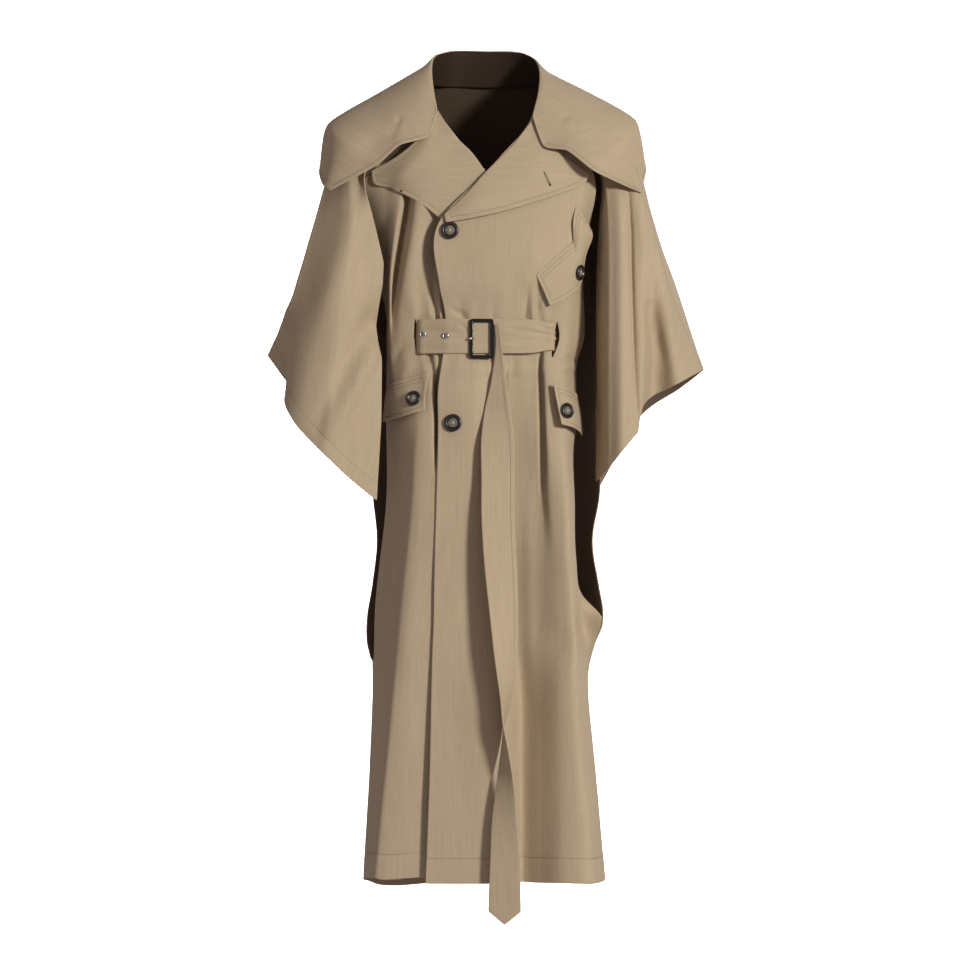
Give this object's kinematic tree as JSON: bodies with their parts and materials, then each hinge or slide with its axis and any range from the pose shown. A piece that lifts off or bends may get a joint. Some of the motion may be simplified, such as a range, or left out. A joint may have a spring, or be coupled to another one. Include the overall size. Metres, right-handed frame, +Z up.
{
  "type": "cape trench coat",
  "caption": "Long belted trench coat with cape sleeves that hang open from the neck, turned-down collar, lapels, pocket flaps and buttons, hollow as worn.",
  "frame": {"origin": "on the neck's axis at the level of the shoulders, where the wearer holds the coat up", "axes": "+Z up along the coat's length, the front faces -Y, the wearer's left side is +X"},
  "size_m": [0.6548, 0.3742, 1.2974],
  "materials": {
    "gabardine": "matt beige cotton gabardine with a fine twill",
    "lining": "smooth dark brown lining with a soft sheen",
    "horn": "polished dark brown horn",
    "dark_metal": "glossy black enamel on metal",
    "nickel": "polished nickel"
  },
  "bodies": {
    "root": {"back": "gabardine", "belt_back": "gabardine", "belt_left": "gabardine", "belt_right": "gabardine", "belt_tail": "gabardine", "cape_left_back": "gabardine", "cape_left_front": "gabardine", "cape_right_back": "gabardine", "cape_right_front": "gabardine", "chest_flap": "gabardine", "collar": "gabardine", "front_left": "gabardine", "front_right": "gabardine", "lapel_left": "gabardine", "lapel_right": "gabardine", "pocket_flap_left": "gabardine", "pocket_flap_right": "gabardine", "back_lining": "lining", "cape_left_lining": "lining", "cape_right_lining": "lining", "collar_stand": "lining", "button_chest": "horn", "button_front_1": "horn", "button_front_2": "horn", "button_pocket_left": "horn", "button_pocket_right": "horn", "buckle": "dark_metal", "buckle_prong": "nickel", "eyelet_1": "nickel", "eyelet_2": "nickel"}
  },
  "joints": []
}
